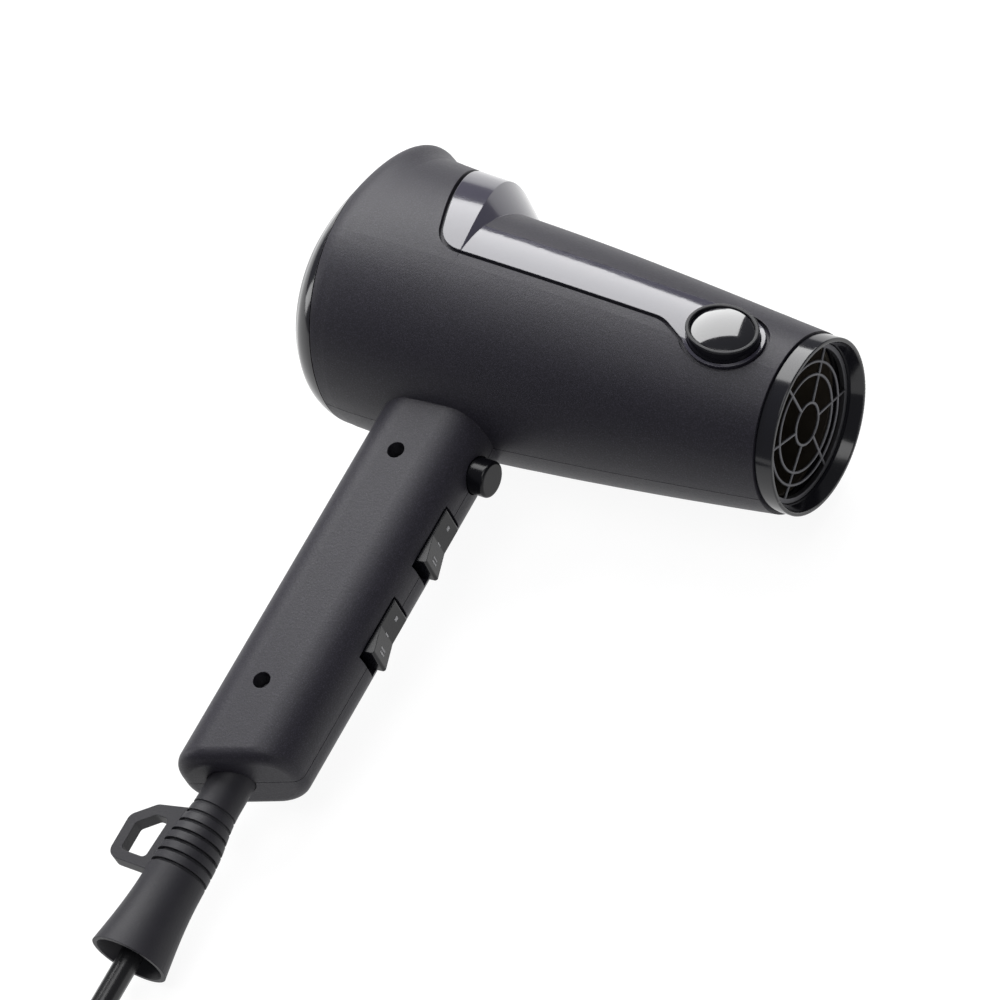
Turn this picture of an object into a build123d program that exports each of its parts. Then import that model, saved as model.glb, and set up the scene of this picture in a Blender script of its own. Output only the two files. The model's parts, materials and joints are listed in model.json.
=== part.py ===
"""A hand-held hair dryer, lying on its side, as separate named pieces. Millimetres.

The pieces are drawn upright: X runs along the barrel from the rear ring to the outlet, Z points up,
the handle hangs down, and the origin is the centre of the rear ring's face. A plane then lays the
dryer on its left side (+Y), resting on the barrel, one oval cap and the rim of the cord sleeve.
"""

import math
import os

from build123d import *

# Barrel
BARREL_END = 155.7          # front edge of the housing
OUTLET_END = BARREL_END + 5.8  # front face of the outlet ring
WALL = 2.2                  # housing wall
SADDLE_END = 49.5           # foot of the bridge
NOSE_SLOPE = 0.83           # fall of the bridge's front face
# x, half width, height of the top over the axis: the lower half is a circle of the half width
HUMP = (
    (0, 31.4, 41.5),
    (3, 34.6, 47.2),
    (6, 36.6, 51.9),
    (9, 37.7, 50.9),
    (12, 38.1, 49.2),
    (15, 38.35, 48.2),
)
SADDLE = (HUMP[-1], (27, 38.6, 46.9), (39, 38.2, 46.2), (SADDLE_END, 37.5, 45.5))
BARREL = (
    (SADDLE_END, 37.5, 35.5),
    (85, 34.9, 33.3),
    (120, 31.5, 30.2),
    (BARREL_END, 27.4, 26.8),
)
RIM_X, RIM_LEAN = 5.6, 0.14  # rear edge of the housing, a plane that leans back at the top
SEAM = 0.1                  # half the gap between the housing halves

# Gloss trim
TRIM_THICK = 1.4
TRIM_BED = 0.1              # clearance under the trim
GROOVE = 1.2                # dark line round the trim
BAND_LOW, BAND_HIGH = 4.3, 16.2
BACK_FOOT, BACK_LEAN = 44.0, 0.40  # rear edge of the bridge at the axis, and how it leans back
TRIM_CORNER = 9.0
CAP_X, CAP_LIFT = 136.0, 9.5  # place along the barrel, degrees above the side
CAP_A, CAP_B = 11.1, 9.1    # half sizes of the bezel
CAP_PROUD = 3.3
BEZEL_WALL = 1.3
CAP_SINK = 2.6
CAP_FIT = 0.15

# Outlet and rear
OUTLET_R = 26.5
OUTLET_LIP = 1.2
SPIGOT_R, SPIGOT_WALL, SPIGOT_START = 24.95, 1.0, BARREL_END - 6.7
COLLAR_START = BARREL_END - 6.1
GRILLE_X, GRILLE_DOME, GRILLE_R = BARREL_END + 0.7, 1.2, 23.8
GRILLE_RINGS = (6.3, 10.5, 14.6, 18.4)
GRILLE_WIRE = 0.45
REAR_BORE = 29.0
COVER_R = 28.7
SLOTS = (7.5, 11.5, 15.5, 19.5, 23.5)

# Fan, motor and heater
SHROUD_R, SHROUD_WALL = 31.0, 1.6
SHROUD_START, SHROUD_STEP, SHROUD_END = 15.0, 44.0, 62.0
TUBE_R, TUBE_WALL, TUBE_START, TUBE_END = 23.6, 1.0, 57.0, BARREL_END - 3.7
MOTOR_R, MOTOR_START, MOTOR_END = 14.0, 33.0, 58.0
SHAFT_R = 1.15
FAN_R, FAN_HUB, FAN_START, FAN_END = 28.6, 11.0, 20.0, 31.0
BLADES, VANES = 9, 7
COIL_R, COIL_WIRE, COIL_FIRST, COIL_PITCH, COILS = 17.5, 1.1, 74.0, 8.0, 7
BOARD_START, BOARD_END, BOARD_THICK = 66.0, 140.0, 0.8

# Handle
HANDLE_X = 51.3
HANDLE_DEPTH, HANDLE_THICK, HANDLE_ROUND = 36.6, 28.2, 12.0
HANDLE_END, END_LEAN = -160.3, 20.0
SCREW_X, SCREW_Z = 49.7, (-52.3, -133.7)
SCREW_HEAD, SCREW_SHANK, BOSS_R = 2.4, 1.25, 4.0
BUTTON_Z, BUTTON_R, BUTTON_END, BUTTON_TRAVEL = -46.0, 5.6, 74.8, 2.0
ROCKER_Z = (-71.5, -103.5)
ROCKER_HALF, ROCKER_WIDE, ROCKER_TILT, PIVOT_X = 9.2, 10.4, 8.0, 63.6
TRUNNION_R = 1.5
RUN_FIT = 0.05              # radial clearance of shafts and trunnions

# Cord sleeve and cord
SLEEVE_X, SLEEVE_END, SLEEVE_NECK, SLEEVE_MOUTH = 49.3, -221.0, 6.6, 11.8
SLEEVE_WALL, BORE_END = 1.4, -203.0
GROOVES, GROOVE_FIRST, GROOVE_PITCH = 7, -171.5, 3.5
LOOP_THICK, LOOP_BAR = 4.6, 3.3
CORD_R = 3.5
CORD_FIT = 0.1

# The cord where it lies, in the frame of the written pieces
LEAD_ROUTE = (
    (-32.42, -117.07, 14.83),
    (-32.6, -149.9, 11.0),
    (-33.6, -181.0, 7.0),
    (-34.6, -209.0, 4.1),
    (-35.0, -234.0, 3.6),
)
PLUG_ROUTE = (
    (11.0, -280.0, 18.0),
    (25.0, -280.1, 17.4),
    (40.0, -280.5, 13.4),
    (55.0, -280.7, 12.5),
)
WOUND_AT = (11.0, -234.0)   # centre of the wound turns
WOUND_R, WOUND_PITCH = 46.0, 7.2
PLUG_AT = (99.6, -280.7)    # middle of the plug's face
PLUG_WIDE, PLUG_HIGH, PLUG_ROUND = 35.4, 25.0, 11.0
PLUG_BODY, PLUG_TAPER, PLUG_NECK = 22.0, 12.0, 14.0
PIN_R, PIN_LENGTH, PIN_APART = 2.4, 19.0, 19.0


def side_prism(face, half=90.0):
    """A side-view outline (x, z) run through the whole width."""
    return extrude(Plane.XZ * face, amount=half, both=True)


def along_x(radius, start, end, y=0.0, z=0.0):
    return Plane.YZ.offset(start) * Pos(y, z) * extrude(Circle(radius), amount=end - start)


def along_y(radius, start, end, x, z):
    tool = Plane(origin=(x, start, z), x_dir=(1, 0, 0), z_dir=(0, 1, 0))
    return tool * extrude(Circle(radius), amount=end - start)


def block(low, high):
    size = [b - a for a, b in zip(low, high)]
    middle = [(a + b) / 2 for a, b in zip(low, high)]
    return Pos(*middle) * Box(*size)


def half_space(point, normal):
    """Everything on the side of a plane that its normal points to."""
    return Plane(origin=point, z_dir=normal) * Pos(0, 0, 200) * Box(800, 800, 400)


def turned(points):
    """A closed (x, radius) outline spun round the barrel axis."""
    return revolve(make_face(Polyline(*points, close=True)), Axis.X)


# Envelope of barrel, saddle and handle
def egg(x, half, top, inset):
    """A section of the barrel: a half circle below and half an ellipse above."""
    lower = CenterArc((0, 0), half - inset, 180, 180)
    upper = EllipticalCenterArc((0, 0), half - inset, top - inset, arc_size=180)
    return Plane.YZ.offset(x) * make_face(Curve() + [lower, upper])


def envelope(inset):
    """Barrel and saddle, with every wall moved in by the inset."""
    hump, saddle, barrel = [
        loft([egg(x, half, top, inset) for x, half, top in stations])
        for stations in (HUMP, SADDLE, BARREL)
    ]
    x, half, top = BARREL[0]
    drop = (half**2 / top - top) / 2
    foot = top + drop + 0.05 - inset * math.hypot(1, NOSE_SLOPE)
    tail = foot + NOSE_SLOPE * (x + 5)
    nose = Pos(0, 0, -drop) * turned(((-5, 0), (-5, tail), (x, foot), (x, 0)))
    return hump + (saddle & nose) + barrel


def handle_slice(z, grow_x, grow_y, inset):
    size_x = HANDLE_DEPTH + grow_x - 2 * inset
    size_y = HANDLE_THICK + grow_y - 2 * inset
    corner = HANDLE_ROUND + min(grow_x, grow_y) / 2 - inset
    return Pos(HANDLE_X, 0, z) * RectangleRounded(size_x, size_y, corner)


def handle(inset):
    grip = extrude(handle_slice(-20, 0, 0, inset), amount=-170)
    lean = (math.sin(math.radians(END_LEAN)), 0, -math.cos(math.radians(END_LEAN)))
    end = [HANDLE_X - inset * lean[0], 0, HANDLE_END - inset * lean[2]]
    grip -= half_space(end, lean)
    grip = fillet(grip.faces().sort_by(Axis((0, 0, 0), lean))[-1].edges(), 4.0 - inset / 2)
    flare = loft(
        [
            handle_slice(-26, 10, 16, inset),
            handle_slice(-36, 3, 6, inset),
            handle_slice(-45, 0.6, 1.4, inset),
            handle_slice(-54, 0, 0, inset),
        ]
    )
    return grip + flare


def trim_outline(gap):
    """Side view of the bridge, the band and the collar round the cap."""
    low = BAND_LOW - gap
    foot = BACK_FOOT - gap * math.hypot(1, BACK_LEAN)
    corner = (foot - BACK_LEAN * low, low)
    band = make_face(
        Polyline(
            (foot - BACK_LEAN * 80, 80),
            corner,
            (CAP_X - 19, low),
            (CAP_X - 8, low - 6.2),
            (CAP_X, low - 6.2),
            (CAP_X, BAND_HIGH - 2.0),
            (CAP_X - 8, BAND_HIGH - 0.2),
            (SADDLE_END + 0.2, BAND_HIGH),
            (SADDLE_END + 0.2, 80),
            close=True,
        )
    )
    band = fillet(band.vertices().sort_by_distance(corner)[0], TRIM_CORNER + gap)
    shoulder = band.vertices().sort_by_distance((CAP_X - 19, low))[0]
    band = fillet(shoulder, 9.0 + gap)
    collar = Ellipse(CAP_A + 1.1 + gap, CAP_B + 1.1 + gap)
    return band + Pos(CAP_X, cap_plane().origin.Z) * collar


def cap_plane():
    """On the barrel surface under the right cap, looking outwards."""
    lift = math.radians(CAP_LIFT)
    (x_back, wide, _), (x_front, narrow, _) = BARREL[-2:]
    share = (CAP_X - x_back) / (x_front - x_back)
    radius = wide * (1 - share) + narrow * share
    taper = math.atan((wide - narrow) / (x_front - x_back))
    out = (math.sin(taper), -math.cos(taper) * math.cos(lift), math.cos(taper) * math.sin(lift))
    return Plane(
        origin=(CAP_X, -radius * math.cos(lift), radius * math.sin(lift)),
        x_dir=(math.cos(taper), math.sin(taper), 0),
        z_dir=out,
    )


def cap_cylinder(shrink, low, high):
    return cap_plane() * Pos(0, 0, low) * extrude(
        Ellipse(CAP_A - shrink, CAP_B - shrink), amount=high - low
    )


def bezel():
    ring = cap_cylinder(0, -CAP_SINK, CAP_PROUD) - cap_cylinder(BEZEL_WALL, -CAP_SINK, 9)
    return fillet(ring.faces().sort_by(Axis((0, 0, 0), cap_plane().z_dir))[-1].edges(), 0.4)


def dome():
    body = cap_cylinder(BEZEL_WALL + CAP_FIT, -CAP_SINK, 9)
    ball = cap_plane() * Pos(0, 0, CAP_PROUD + 0.9 - 26) * Sphere(26)
    return body & ball


def other_side(shape):
    return mirror(shape, about=Plane.XZ)


OUTER = envelope(0)
BED = envelope(TRIM_THICK + TRIM_BED)
INNER = envelope(WALL)
RIM_NORMAL = (1, 0, RIM_LEAN)


def rocker_opening(z):
    half = ROCKER_HALF + 1.5
    slot = block((60, -ROCKER_WIDE / 2 - 0.5, z - half), (80, ROCKER_WIDE / 2 + 0.5, z + half))
    return slot


def housing():
    """The whole casing, before it is split along the middle."""
    shell = (OUTER + handle(0)) - INNER - handle(WALL)
    for start in (17.0, 27.0):
        rib = BED & block((start, -60, -60), (start + 2, 60, 60))
        shell += rib - along_x(SHROUD_R + 0.15, start - 1, start + 3)
    collar = BED & block((COLLAR_START, -60, -60), (BARREL_END, 60, 60))
    shell += collar
    shell -= along_x(SPIGOT_R + 0.15, COLLAR_START - 1, BARREL_END + 1)
    side = HANDLE_THICK / 2 - 0.8
    for z in SCREW_Z:
        shell += along_y(BOSS_R, -side, side, SCREW_X, z)
        shell -= along_y(SCREW_HEAD + 0.25, -30, -6, SCREW_X, z)
        shell -= along_y(SCREW_SHANK + 0.2, -7, 0, SCREW_X, z)
        shell -= along_y(SCREW_SHANK, -1, 8, SCREW_X, z)
    shell += block((55.5, 5.1, BUTTON_Z - 3), (59.5, side, BUTTON_Z + 3))
    shell += block((SLEEVE_X - 4, CORD_R, -149), (SLEEVE_X + 4, side, -143))
    for x in (-7.0, 7.0):
        shell += along_y(2.4, SEAM, side, SLEEVE_X + x, -146)
        shell -= along_y(0.9, -1, 4, SLEEVE_X + x, -146)
    shell -= side_prism(trim_outline(GROOVE)) - BED
    hole = cap_cylinder(-CAP_FIT, -CAP_SINK - 0.1, 12)
    shell -= hole
    shell -= other_side(hole)
    shell -= along_x(BUTTON_R + 0.3, 61, 90, z=BUTTON_Z)
    for z in ROCKER_Z:
        shell -= rocker_opening(z)
    shell -= Pos(SLEEVE_X, 0, -160) * Cylinder(SLEEVE_NECK + 0.2, 30)
    return shell & half_space((RIM_X, 0, 0), RIM_NORMAL)


def gloss_trim():
    shape = (OUTER - envelope(TRIM_THICK)) & side_prism(trim_outline(0))
    hole = cap_cylinder(-CAP_FIT, -CAP_SINK - 0.1, 12)
    return shape - hole - other_side(hole)


def outlet_ring():
    inner = SPIGOT_R - SPIGOT_WALL
    ring = turned(
        (
            (SPIGOT_START, inner),
            (SPIGOT_START, SPIGOT_R),
            (BARREL_END + 0.25, SPIGOT_R),
            (BARREL_END + 0.25, OUTLET_R),
            (OUTLET_END, OUTLET_R),
            (OUTLET_END, OUTLET_R - OUTLET_LIP),
            (GRILLE_X + 1.4, inner),
        )
    )
    return fillet(ring.edges().filter_by(GeomType.CIRCLE).sort_by(Axis.X)[-2:], 0.4)


def outlet_grille():
    """Four wire rings and six spokes on a shallow cone, in a thin frame."""
    fall = GRILLE_DOME / GRILLE_R
    tip = GRILLE_X + GRILLE_DOME
    frame = along_x(GRILLE_R, GRILLE_X - 1.2, GRILLE_X + 0.4)
    grille = frame - along_x(GRILLE_R - 1.4, GRILLE_X - 2, GRILLE_X + 2)
    for radius in GRILLE_RINGS:
        grille += Pos(tip - fall * radius, 0, 0) * Rot(Y=90) * Torus(radius, GRILLE_WIRE)
    end = GRILLE_R - 0.7
    for turn in range(6):
        spoke = Pos(0, 0, GRILLE_RINGS[0]) * extrude(Circle(GRILLE_WIRE), end - GRILLE_RINGS[0])
        spoke = Pos(tip, 0, 0) * Rot(Y=-math.degrees(math.atan(fall))) * spoke
        grille += Rot(X=90 + 60 * turn) * spoke
    return grille


def rear_ring():
    ring = OUTER - half_space((RIM_X - 0.3, 0, 0), RIM_NORMAL)
    ring += envelope(WALL + 0.3) & block((0, -60, -60), (14, 60, 60))
    return ring - along_x(SHROUD_R + 0.5, 11, 20) - along_x(REAR_BORE, -5, 20)


def rear_cover():
    cover = along_x(COVER_R, 2.5, 12) - along_x(COVER_R - 1.3, 4.6, 13)
    spokes = Part()
    for turn in range(4):
        spokes += Rot(X=45 * turn) * block((0, -1.1, -COVER_R), (6, 1.1, COVER_R))
    for radius in SLOTS:
        slot = along_x(radius + 2.6, 0, 6) - along_x(radius, -1, 7)
        cover -= slot - spokes
    return cover


def filter_mesh():
    """A fine screen: a thin disc with a stiff edge."""
    disc = along_x(COVER_R - 1.5, 10.6, 11.0)
    return disc + (along_x(COVER_R - 1.5, 10.0, 11.6) - along_x(COVER_R - 3.0, 9, 13))


def fan_shroud():
    wide, narrow = SHROUD_R - SHROUD_WALL, TUBE_R + 0.15
    shroud = turned(
        (
            (SHROUD_START, wide),
            (SHROUD_START, SHROUD_R),
            (SHROUD_STEP, SHROUD_R),
            (SHROUD_STEP + 10, narrow + SHROUD_WALL),
            (SHROUD_END, narrow + SHROUD_WALL),
            (SHROUD_END, narrow),
            (SHROUD_STEP + 10, narrow),
            (SHROUD_STEP, wide),
        )
    )
    shroud += along_x(MOTOR_R + 1.7, 34, 50)
    for turn in range(VANES):
        vane = Pos(39, 0, 0) * Rot(Z=18) * Box(9, 1.4, 2 * SHROUD_R)
        vane &= block((30, -10, 0), (48, 10, SHROUD_R - 0.6))
        shroud += Rot(X=360 / VANES * turn) * vane
    return shroud - along_x(MOTOR_R + 0.1, 30, 56)


def motor():
    can = along_x(MOTOR_R, MOTOR_START, MOTOR_END)
    can = fillet(can.edges(), 1.0)
    can += along_x(4.0, MOTOR_START - 1, MOTOR_END + 1.5)
    return can - along_x(SHAFT_R + RUN_FIT, 20, 70)


def impeller():
    hub = fillet(along_x(FAN_HUB, FAN_START, FAN_END).edges().sort_by(Axis.X)[0], 4)
    blades = Part()
    for turn in range(BLADES):
        blade = Rot(Z=38) * Box(12, 1.3, FAN_R)
        blade = Pos((FAN_START + FAN_END) / 2 + 0.5, 0, FAN_R / 2 + 4) * blade
        blades += Rot(X=360 / BLADES * turn) * blade
    blades &= along_x(FAN_R, FAN_START + 0.5, FAN_END + 0.5)
    return hub + blades - along_x(SHAFT_R, 10, 40)


def coil(index, wire):
    return Pos(COIL_FIRST + COIL_PITCH * index, 0, 0) * Rot(Y=90) * Torus(COIL_R, wire)


def heater_boards():
    wide = TUBE_R - TUBE_WALL - 0.2
    half = BOARD_THICK / 2
    boards = block((BOARD_START, -wide, -half), (BOARD_END, wide, half))
    boards += block((BOARD_START, -half, -wide), (BOARD_END, half, wide))
    for index in range(COILS):
        boards -= coil(index, COIL_WIRE + 0.2)
    return boards


def heater_coils():
    return Compound(children=[coil(index, COIL_WIRE) for index in range(COILS)])


def cool_button():
    button = fillet(along_x(BUTTON_R, 64, BUTTON_END, z=BUTTON_Z).edges().sort_by(Axis.X)[-1], 0.9)
    return button + along_x(BUTTON_R + 1.2, 64, 65.3, z=BUTTON_Z)


def button_spring():
    """Three turns of wire between the switch and the button's flange."""
    turns, radius, wire = 3, 3.2, 0.25
    length = 64 - 60 - 2 * wire - 0.1
    path = Helix(pitch=length / turns, height=length, radius=radius)
    start = Plane(origin=path @ 0, z_dir=path % 0)
    spring = sweep(start * Circle(wire), path=path, is_frenet=True)
    return Pos(60 + wire + 0.05, 0, BUTTON_Z) * Rot(Y=90) * spring


def rocker(z):
    outline = make_face(
        Polyline(
            (7.6, -ROCKER_HALF),
            (6.3, 0),
            (7.6, ROCKER_HALF),
            (2.0, ROCKER_HALF - 0.3),
            (-1.8, 2.5),
            (-1.8, -2.5),
            (2.0, 0.3 - ROCKER_HALF),
            close=True,
        )
    )
    body = side_prism(outline, ROCKER_WIDE / 2)
    tips = body.edges().filter_by(Axis.Y).sort_by(Axis.X)[-2:]
    body = fillet(tips, 0.8)
    reach = ROCKER_WIDE / 2 + 1.5
    body += along_y(TRUNNION_R, -reach, reach, 0, 0)
    return Pos(PIVOT_X, 0, z) * Rot(Y=-ROCKER_TILT) * body


def switch_body(z):
    cheek = ROCKER_WIDE / 2 + 0.4
    body = block((48, -7, z - 10), (61, 7, z + 10))
    for side in (-1, 1):
        ends = sorted((side * cheek, side * 7.0))
        body += block((61, ends[0], z - 3.5), (65.7, ends[1], z + 3.5))
    return body - along_y(TRUNNION_R + RUN_FIT, -9, 9, PIVOT_X, z)


def contact_pins():
    pins = [
        block((45.6, -0.4 + 4 * side, z + 5 * row - 1), (48, 0.4 + 4 * side, z + 5 * row + 1))
        for z in ROCKER_Z
        for row in (-1, 0, 1)
        for side in (-1, 1)
    ]
    return Compound(children=pins)


def screws():
    parts = [
        along_y(SCREW_HEAD, -8.2, -6, SCREW_X, z) + along_y(SCREW_SHANK, -7, 7, SCREW_X, z)
        for z in SCREW_Z
    ]
    return Compound(children=parts)


def inner_leads():
    leads = []
    for side in (-1, 1):
        path = FilletPolyline(
            (46.2, 1.8 * side, -138.2),
            (40.6, 4.5 * side, -129),
            (41.0, 4.5 * side, -31.7),
            radius=[8.0],
        )
        start = Plane(origin=path @ 0, z_dir=path % 0)
        leads.append(sweep(start * Circle(1.1), path=path))
    return Compound(children=leads)


def cord_clamp():
    bar = block((SLEEVE_X - 9.5, -CORD_R - 2.6, -149), (SLEEVE_X + 9.5, -CORD_R, -143))
    for x in (-7.0, 7.0):
        bar += along_y(2.4, -CORD_R - 1, SEAM, SLEEVE_X + x, -146)
        bar -= along_y(1.1, -12, 1, SLEEVE_X + x, -146)
    return bar


def clamp_screws():
    low = -CORD_R - 2.6
    parts = [
        along_y(1.9, low - 1.4, low, SLEEVE_X + x, -146)
        + along_y(0.9, low - 1, 3.5, SLEEVE_X + x, -146)
        for x in (-7.0, 7.0)
    ]
    return Compound(children=parts)


def strain_relief():
    top = -152.4
    outer = Spline(
        (SLEEVE_NECK, -168),
        (8.3, -182),
        (9.2, -200),
        (SLEEVE_MOUTH, SLEEVE_END),
        tangents=((0, -1), (0.16, -1)),
    )
    inner = SLEEVE_MOUTH - SLEEVE_WALL
    rest = Polyline(
        outer @ 1,
        (inner, SLEEVE_END),
        (CORD_R + CORD_FIT, BORE_END),
        (CORD_R + CORD_FIT, top),
        (9.2, top),
        (9.2, top - 2.0),
        (SLEEVE_NECK, top - 2.0),
        outer @ 0,
    )
    sleeve = revolve(Plane.XZ * make_face(Curve() + [outer, rest]), Axis.Z)
    for index in range(GROOVES):
        z = GROOVE_FIRST - GROOVE_PITCH * index
        sleeve -= Pos(0, 0, z) * (Cylinder(20, 1.1) - Cylinder(6.3 + 0.27 * index, 2))
    loop = make_face(
        Polyline(
            (43, -173.0),
            (33, -175.2),
            (26.3, -181.0),
            (26.3, -194.8),
            (43, -194.8),
            close=True,
        )
    )
    ears = loop.vertices().group_by(Axis.X)[0] + loop.vertices().sort_by_distance((33, -175.2))[:1]
    loop = fillet(ears, 3.2)
    hole = make_face(
        Polyline(
            (38.8, -178.4),
            (34.2, -178.4),
            (29.4, -182.6),
            (29.4, -191.7),
            (38.0, -191.7),
            close=True,
        )
    )
    hole = fillet(hole.vertices(), 1.5)
    ring = side_prism(loop, LOOP_THICK / 2) - side_prism(hole, LOOP_THICK)
    ring -= Pos(SLEEVE_X, 0, -185) * Cylinder(SLEEVE_NECK - 0.6, 60)
    return Pos(SLEEVE_X, 0, 0) * sleeve + ring


# Upright assembly
CASE = housing()
dryer = {
    "right_housing": CASE & block((-20, -90, -260), (200, -SEAM, 90)),
    "left_housing": CASE & block((-20, SEAM, -260), (200, 90, 90)),
    "gloss_trim": gloss_trim(),
    "right_cap_bezel": bezel(),
    "right_cap": dome(),
    "left_cap_bezel": other_side(bezel()),
    "left_cap": other_side(dome()),
    "outlet_ring": outlet_ring(),
    "outlet_grille": outlet_grille(),
    "rear_ring": rear_ring(),
    "rear_cover": rear_cover(),
    "filter_mesh": filter_mesh(),
    "fan_shroud": fan_shroud(),
    "motor": motor(),
    "motor_shaft": along_x(SHAFT_R, FAN_START + 2, MOTOR_END + 3),
    "impeller": impeller(),
    "air_tube": along_x(TUBE_R, TUBE_START, TUBE_END)
    - along_x(TUBE_R - TUBE_WALL, TUBE_START - 1, TUBE_END + 1),
    "heater_boards": heater_boards(),
    "heater_coils": heater_coils(),
    "thermostat": block((128, 4, BOARD_THICK / 2), (136, 12, 3.6)),
    "thermal_fuse": along_x(1.6, 126, 137, y=-8, z=-BOARD_THICK / 2 - 1.7),
    "cool_button": cool_button(),
    "button_spring": button_spring(),
    "cool_switch": block((54.5, -5, BUTTON_Z - 5), (60, 5, BUTTON_Z + 5)),
    "upper_rocker": rocker(ROCKER_Z[0]),
    "lower_rocker": rocker(ROCKER_Z[1]),
    "upper_switch": switch_body(ROCKER_Z[0]),
    "lower_switch": switch_body(ROCKER_Z[1]),
    "contact_pins": contact_pins(),
    "control_board": block((44, -8, -117), (45.6, 8, -58)),
    "inner_leads": inner_leads(),
    "handle_screws": screws(),
    "cord_clamp": cord_clamp(),
    "clamp_screws": clamp_screws(),
    "strain_relief": strain_relief(),
    "cord_end": Pos(SLEEVE_X, 0, (BORE_END - 138.5) / 2) * Cylinder(CORD_R, -138.5 - BORE_END),
}

# The cord, drawn where it lies
def cord_tube(points):
    """Straight runs joined by arcs as large as the runs allow."""
    points = [Vector(*point) for point in points]
    radii = []
    for before, here, after in zip(points, points[1:], points[2:]):
        turn = math.radians((here - before).get_angle(after - here))
        shorter = min((here - before).length, (after - here).length)
        radii.append(0.45 * shorter / math.tan(turn / 2))
    path = FilletPolyline(*points, radius=radii)
    tube = sweep(Plane(origin=path @ 0, z_dir=path % 0) * Circle(CORD_R), path=path)
    section = math.pi * CORD_R**2
    print("cord radii", [round(r) for r in radii], "length", round(path.length, 1))
    print("volume over section times length", round(tube.volume / section / path.length, 5))
    return tube


def cord_coil():
    """The outer shape of the wound turns: two layers of three, and one more on the outside."""
    edge = WOUND_PITCH / 2
    outside, step = WOUND_R + edge, WOUND_R - edge
    inside = WOUND_R - 2 * WOUND_PITCH - edge
    low, high = 2 * WOUND_PITCH, 3 * WOUND_PITCH
    outline = Polyline(
        (inside, 0), (outside, 0), (outside, high), (step, high), (step, low), (inside, low), close=True
    )
    section = make_face(Plane.XZ * outline)
    ring = revolve(section, Axis.Z)
    ring = chamfer(ring.edges().group_by(Axis.Z)[0] + ring.edges().group_by(Axis.Z)[-1], 1.5)
    return Pos(*WOUND_AT, 0) * ring


def plug_section(x, wide, high, corner):
    plane = Plane(origin=(x, PLUG_AT[1], PLUG_HIGH / 2), x_dir=(0, 1, 0), z_dir=(1, 0, 0))
    return plane * RectangleRounded(wide, high, corner)


def plug_body():
    face = PLUG_AT[0]
    shoulder = face - PLUG_BODY
    neck = shoulder - PLUG_TAPER
    body = extrude(plug_section(shoulder, PLUG_WIDE, PLUG_HIGH, PLUG_ROUND), amount=PLUG_BODY)
    body = chamfer(body.faces().sort_by(Axis.X)[-1].edges(), 1.0)
    body += loft(
        [
            plug_section(neck, 14, 13, 6.4),
            plug_section(shoulder, PLUG_WIDE, PLUG_HIGH, PLUG_ROUND),
        ]
    )
    return body + loft(
        [plug_section(neck - PLUG_NECK, 9.6, 9.6, 4.7), plug_section(neck, 13, 12.6, 6.2)]
    )


def plug_pins():
    pins = []
    for side in (-0.5, 0.5):
        y = PLUG_AT[1] + side * PIN_APART
        pin = along_x(PIN_R, PLUG_AT[0], PLUG_AT[0] + PIN_LENGTH, y, PLUG_HIGH / 2)
        pins.append(fillet(pin.edges().sort_by(Axis.X)[-1], 1.6))
    return Compound(children=pins)


# Laid on its left side: X stays along the barrel, Y points up the handle
WIDEST_X, WIDEST_R, REACH = 28.0, 38.6, -SLEEVE_END
CAP_TOP = -(cap_plane().origin.Y + cap_plane().z_dir.Y * (CAP_PROUD + 0.9))
PITCH = (WIDEST_R - CAP_TOP) / (CAP_X - WIDEST_X)
ROLL = (WIDEST_R - SLEEVE_MOUTH - PITCH * (SLEEVE_X - WIDEST_X)) / REACH
UP = Vector(-PITCH, -1, ROLL).normalized()
ALONG = (Vector(1, 0, 0) - UP * UP.X).normalized()
lying = Plane(origin=(0, 0, 0), x_dir=ALONG, z_dir=UP)
laid = {name: lying.to_local_coords(shape) for name, shape in dryer.items()}
boxes = [shape.bounding_box() for shape in laid.values()]
SHIFT = (
    -(min(b.min.X for b in boxes) + max(b.max.X for b in boxes)) / 2,
    -(min(b.min.Y for b in boxes) + max(b.max.Y for b in boxes)) / 2,
    -min(b.min.Z for b in boxes),
)


def in_row(point):
    """A point of the upright drawing, where it lies."""
    return Vector(*lying.to_local_coords(Vector(*point))) + Vector(*SHIFT)


pieces = {name: Pos(*SHIFT) * shape for name, shape in laid.items()}
pieces["mains_cord"] = cord_tube(LEAD_ROUTE)
pieces["cord_coil"] = cord_coil()
pieces["plug_cord"] = cord_tube(PLUG_ROUTE)
pieces["plug_body"] = plug_body()
pieces["plug_pins"] = plug_pins()

os.makedirs("parts", exist_ok=True)
for name, shape in pieces.items():
    export_step(shape, f"parts/{name}.step")
print("cord leaves at", in_row((SLEEVE_X, 0, BORE_END)), "mouth", in_row((SLEEVE_X, 0, SLEEVE_END)))
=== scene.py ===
"""A hand-held hair dryer lying on its side on a pale floor, with its lead wound up beside it.

The CAD nodes keep their shape and get their finishes here. The lead, its ties and the marks on the
rockers are modelled here. Metres and degrees.
"""

import json
import math

import bpy
from mathutils import Matrix, Vector


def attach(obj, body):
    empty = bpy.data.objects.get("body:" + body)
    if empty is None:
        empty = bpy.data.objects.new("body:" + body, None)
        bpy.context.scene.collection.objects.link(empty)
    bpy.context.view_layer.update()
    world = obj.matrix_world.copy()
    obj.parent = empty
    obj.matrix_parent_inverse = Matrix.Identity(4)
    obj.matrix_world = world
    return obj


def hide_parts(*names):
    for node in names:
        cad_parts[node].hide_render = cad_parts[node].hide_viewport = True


bl_info = {
    "name": "Hair Dryer",
    "version": (1, 0, 0),
    "blender": (4, 5, 0),
    "location": "3D Viewport > Sidebar > Hair Dryer",
    "description": "Finishes for the casing and its fittings, the mains lead and a studio",
    "category": "Object",
}

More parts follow.
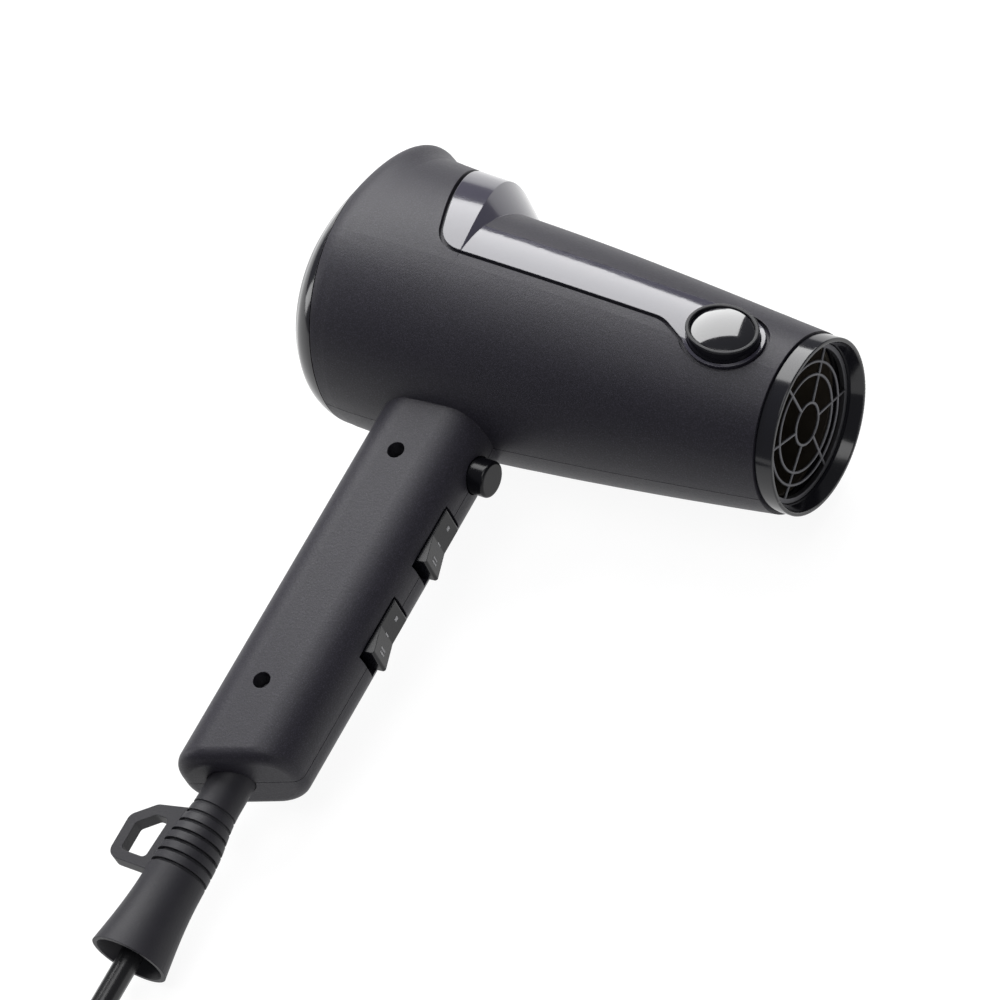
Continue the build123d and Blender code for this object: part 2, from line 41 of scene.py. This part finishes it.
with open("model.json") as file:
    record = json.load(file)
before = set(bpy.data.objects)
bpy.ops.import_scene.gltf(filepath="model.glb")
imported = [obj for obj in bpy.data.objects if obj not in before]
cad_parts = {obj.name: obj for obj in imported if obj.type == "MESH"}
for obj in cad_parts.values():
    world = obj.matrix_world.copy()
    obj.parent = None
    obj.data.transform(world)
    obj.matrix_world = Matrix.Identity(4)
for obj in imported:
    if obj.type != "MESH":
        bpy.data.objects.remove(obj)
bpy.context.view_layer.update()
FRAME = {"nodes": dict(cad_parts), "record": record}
NODES = FRAME["nodes"]
RECORD = FRAME["record"]
JOINTS = {joint["name"]: joint for joint in RECORD["behaviour"]["joints"]}

# The dryer's upright directions as it lies
ALONG = Vector(JOINTS["fan_spin"]["axis"])
ACROSS = Vector(JOINTS["upper_key_rock"]["axis"])
RISE = ALONG.cross(ACROSS)
LYING = Matrix((ALONG, ACROSS, RISE)).transposed()

# The lead's route in metres, from the sleeve's bore, and from the wound turns to the plug
LEAD_ROUTE = (
    (-0.03242, -0.11707, 0.01483),
    (-0.0326, -0.1499, 0.011),
    (-0.0336, -0.181, 0.007),
    (-0.0346, -0.209, 0.0041),
    (-0.035, -0.234, 0.0036),
)
PLUG_ROUTE = (
    (0.011, -0.28, 0.018),
    (0.025, -0.2801, 0.0174),
    (0.04, -0.2805, 0.0134),
    (0.055, -0.2807, 0.0125),
)
WOUND_AT = (0.011, -0.234)
WOUND_LEVEL = 0.0036  # height of the lowest turns
SLOTS = ((0, 0), (1, 0), (2, 0), (2, 1), (1, 1), (0, 1), (0, 2))  # steps inwards, steps up
STEPS_A_TURN = 16
WOUND_STEPS = 100  # six and a quarter turns
SLOT_STEPS = 6.5 * STEPS_A_TURN / len(SLOTS)
TIE_PLACES = (60, 285)
TIE_THICK, TIE_EDGE = 0.0007, 0.0002
TIE_SLACK, TIE_LIFT = 0.0003, 0.0008  # room beside the turns, and under the strap

# The rocker keys, in millimetres from their pivots: two flats that fall away from the middle
KEY_TILT = math.radians(-8.0)
KEY_HALF, KEY_FALL, KEY_FACE = 9.2, 1.3, 6.3
KEY_MARKS = ((-6.2, 1.6), (-4.9, 1.6), (0.0, 1.1), (5.6, 0.7))  # place along the key, half width
MARK_THICK, MARK_ROUND = 0.00012, 0.00004

# Name, direction from the dryer, distance, width, height and power
LIGHTS = (
    ("band_softbox", (-0.42, 0.58, 0.70), 1.1, 1.2, 0.95, 26),
    ("overhead", (0.1, -0.2, 1.0), 1.5, 0.9, 0.9, 9),
    ("front_fill", (0.9, -0.5, 0.5), 1.6, 0.6, 0.6, 2),
    ("rear_edge", (-1.0, -0.2, 0.35), 1.4, 0.3, 0.9, 4),
)
CAMERA_PLACE = (0.81605, -0.66869, 1.15127)
CAMERA_TURN = (41.1715, 16.7173, 31.0988)


class DryerSizes(bpy.types.PropertyGroup):
    lead_diameter: bpy.props.FloatProperty(
        name="Lead diameter", description="Outside of the sheath", default=0.007, unit="LENGTH"
    )
    wound_radius: bpy.props.FloatProperty(
        name="Wound radius", description="Middle of the outermost turn", default=0.046, unit="LENGTH"
    )
    wound_pitch: bpy.props.FloatProperty(
        name="Turn spacing", description="From one turn to the next", default=0.0072, unit="LENGTH"
    )
    tie_width: bpy.props.FloatProperty(
        name="Tie width", description="Width of each tie", default=0.006, unit="LENGTH"
    )


class DryerColours(bpy.types.PropertyGroup):
    casing: bpy.props.FloatVectorProperty(
        name="Casing", description="Satin paint", default=(0.0125, 0.0116, 0.0165), subtype="COLOR"
    )
    trim: bpy.props.FloatVectorProperty(
        name="Trim", description="Polished band", default=(0.034, 0.032, 0.046), subtype="COLOR"
    )
    fittings: bpy.props.FloatVectorProperty(
        name="Fittings",
        description="Rings, caps and keys",
        default=(0.006, 0.006, 0.008),
        subtype="COLOR",
    )
    sleeve: bpy.props.FloatVectorProperty(
        name="Sleeve", description="Rubber cord sleeve", default=(0.014, 0.0135, 0.017), subtype="COLOR"
    )
    print_tone: bpy.props.FloatVectorProperty(
        name="Marks", description="Pale marks", default=(0.22, 0.22, 0.23), subtype="COLOR"
    )


class Value:
    """A shader value that differs over a surface. Sums on it add nodes."""

    def __init__(self, finish, socket):
        self.finish = finish
        self.socket = socket

    def _math(self, operation, first, second):
        return self.finish.node("Math", {"operation": operation}, {0: first, 1: second})

    def __add__(self, other):
        return self._math("ADD", self, other)

    def __radd__(self, other):
        return self._math("ADD", other, self)

    def __sub__(self, other):
        return self._math("SUBTRACT", self, other)

    def __rsub__(self, other):
        return self._math("SUBTRACT", other, self)

    def __mul__(self, other):
        return self._math("MULTIPLY", self, other)

    def __rmul__(self, other):
        return self._math("MULTIPLY", other, self)

    def over(self, level):
        return self._math("GREATER_THAN", self, level)

    def sine(self):
        return self._math("SINE", self, 0)


class Finish:
    """One material, built round a principled shader."""

    def __init__(self, name, **sockets):
        self.material = bpy.data.materials.new(name)
        self.material.use_nodes = True
        self.tree = self.material.node_tree
        self.shader = self.tree.nodes["Principled BSDF"]
        for socket, value in sockets.items():
            self.shader.inputs[socket.replace("_", " ")].default_value = value

    def node(self, kind, settings=None, inputs=None, output=0):
        made = self.tree.nodes.new("ShaderNode" + kind)
        for key, value in (settings or {}).items():
            setattr(made, key, value)
        for key, value in (inputs or {}).items():
            if isinstance(value, Value):
                self.tree.links.new(value.socket, made.inputs[key])
            else:
                made.inputs[key].default_value = value
        return Value(self, made.outputs[output])

    def feed(self, socket, value):
        self.tree.links.new(value.socket, self.shader.inputs[socket])

    def place(self):
        return self.node("TexCoord", output="Object")

    def noise(self, scale, detail=2.0, roughness=0.5):
        settings = {"Vector": self.place(), "Scale": scale, "Detail": detail, "Roughness": roughness}
        return self.node("TexNoise", None, settings)

    def mix(self, share, first, second):
        made = self.tree.nodes.new("ShaderNodeMix")
        made.data_type = "RGBA"
        self.tree.links.new(share.socket, made.inputs[0])
        for socket, value in ((made.inputs[6], first), (made.inputs[7], second)):
            if isinstance(value, Value):
                self.tree.links.new(value.socket, socket)
            else:
                socket.default_value = (*value, 1)
        return Value(self, made.outputs[2])

    def relief(self, height, depth, soften=0.0003):
        """Bump over edges that are rounded by the given radius."""
        edge = self.node("Bevel", {"samples": 4}, {"Radius": soften})
        bump = {"Height": height, "Distance": depth, "Strength": 1.0, "Normal": edge}
        self.feed("Normal", self.node("Bump", None, bump))


def shade(colour, factor):
    return tuple(min(1.0, factor * channel) for channel in colour)


def satin(name, colour, roughness=0.46, grain=1500.0, depth=0.00005, shine=0.5):
    """Sprayed plastic: a fine grain, a slightly cloudy gloss and paler specks."""
    finish = Finish(name, Specular_IOR_Level=shine)
    fine = finish.noise(grain, 2.0)
    cloud = finish.noise(38.0, 3.0)
    sprayed = finish.mix(fine * 0.7 + cloud * 0.3, shade(colour, 0.6), shade(colour, 1.4))
    specks = finish.noise(2.2 * grain, 1.0).over(0.58)
    finish.feed("Base Color", finish.mix(specks, sprayed, shade(colour, 1.9)))
    finish.feed("Roughness", roughness - 0.12 + cloud * 0.08 + fine * 0.18)
    finish.relief(fine, depth)
    return finish.material


def gloss(name, colour, roughness=0.07, coat=0.3, shine=0.5):
    """Polished plastic: nearly even, with faint smears where it is handled."""
    finish = Finish(name, Coat_Weight=coat, Coat_Roughness=0.04, Specular_IOR_Level=shine)
    smear = finish.noise(55.0, 4.0, 0.6)
    fleck = finish.noise(900.0, 2.0)
    finish.feed("Base Color", finish.mix(smear, shade(colour, 0.85), shade(colour, 1.15)))
    finish.feed("Roughness", roughness + smear * 0.05 + fleck * 0.02)
    finish.relief(smear, 0.00001)
    return finish.material


def metal(name, colour, roughness=0.3, stretch=(1, 1, 1)):
    """Plated or drawn metal with fine lines along the stretched direction."""
    finish = Finish(name, Metallic=1.0)
    lined = finish.node("Mapping", None, {"Vector": finish.place(), "Scale": stretch})
    lines = finish.node("TexNoise", None, {"Vector": lined, "Scale": 900.0, "Detail": 2.0})
    tarnish = finish.noise(70.0, 3.0)
    finish.feed("Base Color", finish.mix(tarnish, shade(colour, 0.75), shade(colour, 1.1)))
    finish.feed("Roughness", roughness - 0.08 + lines * 0.12 + tarnish * 0.08)
    finish.relief(lines, 0.00001)
    return finish.material


def rubber(name, colour, roughness=0.5, grain=1500.0, depth=0.00003, shine=0.4):
    finish = Finish(name, Specular_IOR_Level=shine)
    fine = finish.noise(grain, 3.0)
    bloom = finish.noise(60.0, 3.0)
    finish.feed("Base Color", finish.mix(bloom, shade(colour, 0.8), shade(colour, 1.35)))
    finish.feed("Roughness", roughness - 0.06 + bloom * 0.12)
    finish.relief(fine, depth)
    return finish.material


def woven_screen(name):
    """Fine wire cloth, crossed at right angles."""
    finish = Finish(name, Metallic=1.0)
    axes = finish.node("SeparateXYZ", None, {"Vector": finish.place()}, "Y")
    up = Value(finish, axes.socket.node.outputs["Z"])
    wires = (axes * 9000.0).sine() * (up * 9000.0).sine()
    finish.feed("Base Color", finish.mix(wires.over(0.0), (0.05, 0.05, 0.055), (0.4, 0.4, 0.42)))
    finish.feed("Roughness", 0.4 - wires * 0.1)
    finish.relief(wires, 0.00008)
    return finish.material


def mica(name, colour):
    """Pressed mica: flaky, with a soft sheen and darker scorched patches."""
    finish = Finish(name)
    flakes = finish.node("TexVoronoi", None, {"Vector": finish.place(), "Scale": 450.0})
    scorch = finish.noise(45.0, 4.0)
    finish.feed("Base Color", finish.mix(scorch, shade(colour, 0.55), shade(colour, 1.1)))
    finish.feed("Roughness", 0.35 + flakes * 0.3)
    finish.relief(flakes, 0.00002)
    return finish.material


def finishes(colours):
    """The record's material slots and their finishes."""
    return {
        "housing_matte": satin("satin casing", colours.casing, 0.46, shine=0.25),
        "trim_gloss": gloss("polished trim", colours.trim, 0.1),
        "cap_gloss": gloss("polished cap", colours.fittings, 0.05, 0.6),
        "ring_gloss": gloss("polished ring", shade(colours.fittings, 1.3), 0.09, 0.1, 0.35),
        "grille_wire": metal("enamelled grille wire", (0.13, 0.13, 0.14), 0.5),
        "rear_plastic": satin("inlet cover", shade(colours.fittings, 1.7), 0.5, shine=0.3),
        "filter_steel": woven_screen("filter cloth"),
        "inner_plastic": satin("inner mouldings", (0.28, 0.28, 0.29), 0.5),
        "motor_steel": metal("plated motor can", (0.55, 0.55, 0.56), 0.3, (1, 8, 8)),
        "fan_plastic": satin("fan plastic", (0.55, 0.55, 0.53), 0.45),
        "mica": mica("pressed mica", (0.045, 0.036, 0.026)),
        "heater_wire": metal("heater wire", (0.16, 0.15, 0.14), 0.45),
        "button_gloss": gloss("polished button", shade(colours.fittings, 0.6), 0.16, 0.0, 0.2),
        "rocker_black": gloss("rocker keys", shade(colours.fittings, 0.7), 0.2, 0.0, 0.22),
        "contact_brass": metal("brass contacts", (0.72, 0.52, 0.24), 0.3),
        "circuit_board": satin("circuit board", (0.02, 0.13, 0.06), 0.35),
        "lead_sheath": rubber("inner lead sheath", (0.28, 0.03, 0.02)),
        "screw_steel": metal("dark screws", (0.22, 0.22, 0.23), 0.35),
        "sleeve_rubber": rubber("sleeve rubber", colours.sleeve, 0.5, 1500.0, 0.00004, 0.25),
        "cord_sheath": rubber("glossy lead sheath", (0.009, 0.009, 0.01), 0.24, 700.0, 0.00001),
        "plug_plastic": satin("plug moulding", (0.012, 0.012, 0.014), 0.42),
        "plug_pin": metal("plated pins", (0.72, 0.71, 0.68), 0.22, (1, 8, 8)),
    }


def select_none():
    bpy.ops.object.select_all(action="DESELECT")


def select_only(piece):
    select_none()
    piece.select_set(True)
    bpy.context.view_layer.objects.active = piece


def settle(piece, name, material, body="dryer"):
    """Bakes a piece's place into its mesh, and gives it its finish and its body."""
    piece.name = name
    select_only(piece)
    bpy.ops.object.transform_apply(location=True, rotation=True, scale=True)
    piece.data.materials.clear()
    piece.data.materials.append(material)
    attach(piece, body)
    return piece


class HAIRDRYER_OT_finish_nodes(bpy.types.Operator):
    """Give every CAD node the finish of its material slot"""

    bl_idname = "hairdryer.finish_nodes"
    bl_label = "Finish Casing and Fittings"

    def execute(self, context):
        made = finishes(context.scene.dryer_colours)
        bezel = gloss("bezel lacquer", context.scene.dryer_colours.fittings, 0.12, 0.0, 0.16)
        for part in RECORD["subparts"]:
            node = part["node"]
            mesh = NODES[node].data
            mesh.materials.clear()
            mesh.materials.append(bezel if node.endswith("_bezel") else made[part["material_slot"]])
        return {"FINISHED"}


def wound_turns(sizes):
    """Points round six and a quarter turns, each slipping to its next place before the one below."""
    stretch = 1 / math.cos(math.pi / STEPS_A_TURN)
    points = []
    for step in range(1, WOUND_STEPS):
        slot = min(int(step / SLOT_STEPS + 0.5), len(SLOTS) - 1)
        slip = min(max((step / SLOT_STEPS - slot) * SLOT_STEPS / 2.5 + 0.5, 0.0), 1.0)
        slip = slip * slip * (3 - 2 * slip)
        earlier, later = SLOTS[max(slot - 1, 0)], SLOTS[slot]
        inwards = earlier[0] + (later[0] - earlier[0]) * slip
        upwards = earlier[1] + (later[1] - earlier[1]) * slip
        radius = (sizes.wound_radius - sizes.wound_pitch * inwards) * stretch
        angle = math.pi + 2 * math.pi * step / STEPS_A_TURN
        points.append(
            (
                WOUND_AT[0] + radius * math.cos(angle),
                WOUND_AT[1] + radius * math.sin(angle),
                WOUND_LEVEL + sizes.wound_pitch * upwards,
            )
        )
    return points


def tie_band(sizes, angle, name, material):
    """A flat strap with rounded corners, closed round the wound turns."""
    edge = sizes.wound_pitch / 2
    inside = sizes.wound_radius - 2 * sizes.wound_pitch - edge
    outside = sizes.wound_radius + edge
    high = 3 * sizes.wound_pitch + TIE_EDGE
    select_none()
    bpy.ops.mesh.primitive_circle_add(vertices=40, radius=1.0, fill_type="NOTHING")
    band = bpy.context.object
    wide, tall = (outside - inside) / 2 + TIE_SLACK, high / 2
    for vertex in band.data.vertices:
        turn = math.atan2(vertex.co.y, vertex.co.x)
        corner = (abs(math.cos(turn)) ** 5 + abs(math.sin(turn)) ** 5) ** (-0.2)
        x, z = wide * corner * math.cos(turn), tall * corner * math.sin(turn)
        vertex.co = (x, -sizes.tie_width / 2, z)
    bpy.ops.object.mode_set(mode="EDIT")
    bpy.ops.mesh.select_all(action="SELECT")
    bpy.ops.mesh.extrude_region_move(TRANSFORM_OT_translate={"value": (0, sizes.tie_width, 0)})
    bpy.ops.mesh.normals_make_consistent(inside=False)
    bpy.ops.object.mode_set(mode="OBJECT")
    wall = band.modifiers.new("wall", "SOLIDIFY")
    wall.thickness = TIE_THICK
    wall.offset = 1.0
    rim = band.modifiers.new("rim", "BEVEL")
    rim.width = TIE_EDGE
    rim.segments = 2
    for modifier in ("wall", "rim"):
        bpy.ops.object.modifier_apply(modifier=modifier)
    middle = (inside + outside) / 2
    band.rotation_euler = (0, 0, angle)
    band.location = (
        WOUND_AT[0] + middle * math.cos(angle),
        WOUND_AT[1] + middle * math.sin(angle),
        high / 2 + TIE_LIFT,
    )
    return settle(band, name, material)


class HAIRDRYER_OT_lead(bpy.types.Operator):
    """Lay the mains lead along its route and wind what is left of it beside the dryer"""

    bl_idname = "hairdryer.lead"
    bl_label = "Mains Lead"

    def execute(self, context):
        sizes = context.scene.dryer_sizes
        points = [*LEAD_ROUTE, *wound_turns(sizes), *PLUG_ROUTE]
        curve = bpy.data.curves.new("mains_lead", "CURVE")
        curve.dimensions = "3D"
        curve.bevel_depth = sizes.lead_diameter / 2
        curve.bevel_resolution = 4
        curve.resolution_u = 5
        curve.use_fill_caps = True
        line = curve.splines.new("NURBS")
        line.points.add(len(points) - 1)
        for point, place in zip(line.points, points):
            point.co = (*place, 1)
        line.order_u = 3
        line.use_endpoint_u = True
        line.use_smooth = True
        lead = bpy.data.objects.new("mains_lead", curve)
        context.collection.objects.link(lead)
        sheath = NODES["cord_coil"].data.materials[0]
        curve.materials.append(sheath)
        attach(lead, "dryer")
        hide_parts("mains_cord", "cord_coil", "plug_cord")
        strap = rubber("tie strap", (0.02, 0.02, 0.022), 0.4)
        ties = [tie_band(sizes, math.radians(a), f"lead_tie_{a}", strap) for a in TIE_PLACES]
        return {"FINISHED"}


def raised_mark(size, bevel, place, turn):
    """A flat pad with soft corners, laid on a surface."""
    select_none()
    bpy.ops.mesh.primitive_cube_add(size=1.0)
    pad = bpy.context.object
    pad.scale = size
    bpy.ops.object.transform_apply(location=False, rotation=False, scale=True)
    bpy.ops.object.mode_set(mode="EDIT")
    bpy.ops.mesh.select_all(action="SELECT")
    bpy.ops.mesh.bevel(offset=bevel, segments=3, affect="EDGES")
    bpy.ops.object.mode_set(mode="OBJECT")
    pad.matrix_world = Matrix.Translation(place) @ turn.to_4x4()
    return pad


def joined(pads):
    select_none()
    for pad in pads:
        pad.select_set(True)
    bpy.context.view_layer.objects.active = pads[0]
    bpy.ops.object.join()
    return bpy.context.object


class HAIRDRYER_OT_key_marks(bpy.types.Operator):
    """Print plain bars and a dot on the rocker keys"""

    bl_idname = "hairdryer.key_marks"
    bl_label = "Key Marks"

    def execute(self, context):
        tone = satin("key marks", context.scene.dryer_colours.print_tone, 0.5)
        rest_tilt = Matrix.Rotation(KEY_TILT, 3, "Y")
        for key, joint in (("upper", "upper_key_rock"), ("lower", "lower_key_rock")):
            pivot = Vector(JOINTS[joint]["pos_m"])
            pads = []
            for height, half_width in KEY_MARKS:
                side = 1 if height > 0 else -1 if height < 0 else 0
                lean = side * math.atan(KEY_FALL / KEY_HALF)
                face = KEY_FACE + KEY_FALL * abs(height) / KEY_HALF + 0.03
                place = pivot + LYING @ (rest_tilt @ (0.001 * Vector((face, 0, height))))
                turn = LYING @ rest_tilt @ Matrix.Rotation(lean, 3, "Y")
                length = 0.0006 if half_width > 1 else 0.0014
                size = (MARK_THICK, 0.002 * half_width, length)
                pads.append(raised_mark(size, MARK_ROUND, place, turn))
            settle(joined(pads), f"{key}_key_marks", tone, f"{key}_key")
        return {"FINISHED"}


class HAIRDRYER_OT_stage(bpy.types.Operator):
    """Pale floor, soft studio lights and the camera"""

    bl_idname = "hairdryer.stage"
    bl_label = "Studio"

    def light(self, name, direction, distance, width, height, power):
        data = bpy.data.lights.new(name, "AREA")
        data.shape = "RECTANGLE"
        data.size, data.size_y, data.energy = width, height, power
        lamp = bpy.data.objects.new(name, data)
        bpy.context.collection.objects.link(lamp)
        aim = Vector((0, 0.02, 0.04))
        lamp.location = aim + distance * Vector(direction).normalized()
        lamp.rotation_euler = (lamp.location - aim).to_track_quat("Z", "Y").to_euler()

    def execute(self, context):
        select_none()
        bpy.ops.mesh.primitive_plane_add(size=8.0, location=(0, 0, -0.0002))
        floor = context.object
        floor.name = "studio_floor"
        paper = Finish("white paper", Roughness=0.9, Emission_Strength=0.92)
        tooth = paper.noise(60.0, 3.0)
        paper.feed("Base Color", paper.mix(tooth, (0.10, 0.10, 0.10), (0.12, 0.12, 0.12)))
        paper.shader.inputs["Emission Color"].default_value = (1, 1, 1, 1)
        floor.data.materials.append(paper.material)

        for light in LIGHTS:
            self.light(*light)

        world = bpy.data.worlds.new("studio_air")
        world.use_nodes = True
        world.node_tree.nodes["Background"].inputs["Color"].default_value = (0.95, 0.96, 1.0, 1)
        world.node_tree.nodes["Background"].inputs["Strength"].default_value = 0.2
        context.scene.world = world

        lens = bpy.data.cameras.new("camera")
        lens.lens, lens.sensor_width = 193.026, 36.0
        lens.clip_end = 20.0
        camera = bpy.data.objects.new("camera", lens)
        context.collection.objects.link(camera)
        camera.location = CAMERA_PLACE
        camera.rotation_euler = [math.radians(a) for a in CAMERA_TURN]
        context.scene.camera = camera
        context.scene.view_settings.view_transform = "Standard"
        return {"FINISHED"}


class HAIRDRYER_PT_panel(bpy.types.Panel):
    """Sizes, colours and the steps that build the dryer's looks"""

    bl_idname = "HAIRDRYER_PT_panel"
    bl_label = "Hair Dryer"
    bl_space_type = "VIEW_3D"
    bl_region_type = "UI"
    bl_category = "Hair Dryer"

    def draw(self, context):
        for group in (context.scene.dryer_sizes, context.scene.dryer_colours):
            for name in group.__annotations__:
                self.layout.prop(group, name)
        for operator in OPERATORS:
            self.layout.operator(operator.bl_idname)


OPERATORS = (
    HAIRDRYER_OT_stage,
    HAIRDRYER_OT_finish_nodes,
    HAIRDRYER_OT_lead,
    HAIRDRYER_OT_key_marks,
)
CLASSES = (DryerSizes, DryerColours, *OPERATORS, HAIRDRYER_PT_panel)


def register():
    for cls in CLASSES:
        bpy.utils.register_class(cls)
    bpy.types.Scene.dryer_sizes = bpy.props.PointerProperty(type=DryerSizes)
    bpy.types.Scene.dryer_colours = bpy.props.PointerProperty(type=DryerColours)


def unregister():
    del bpy.types.Scene.dryer_colours
    del bpy.types.Scene.dryer_sizes
    for cls in reversed(CLASSES):
        bpy.utils.unregister_class(cls)


def main():
    register()
    bpy.ops.hairdryer.stage()
    bpy.ops.hairdryer.finish_nodes()
    bpy.ops.hairdryer.lead()
    bpy.ops.hairdryer.key_marks()


if __name__ == "__main__":
    main()
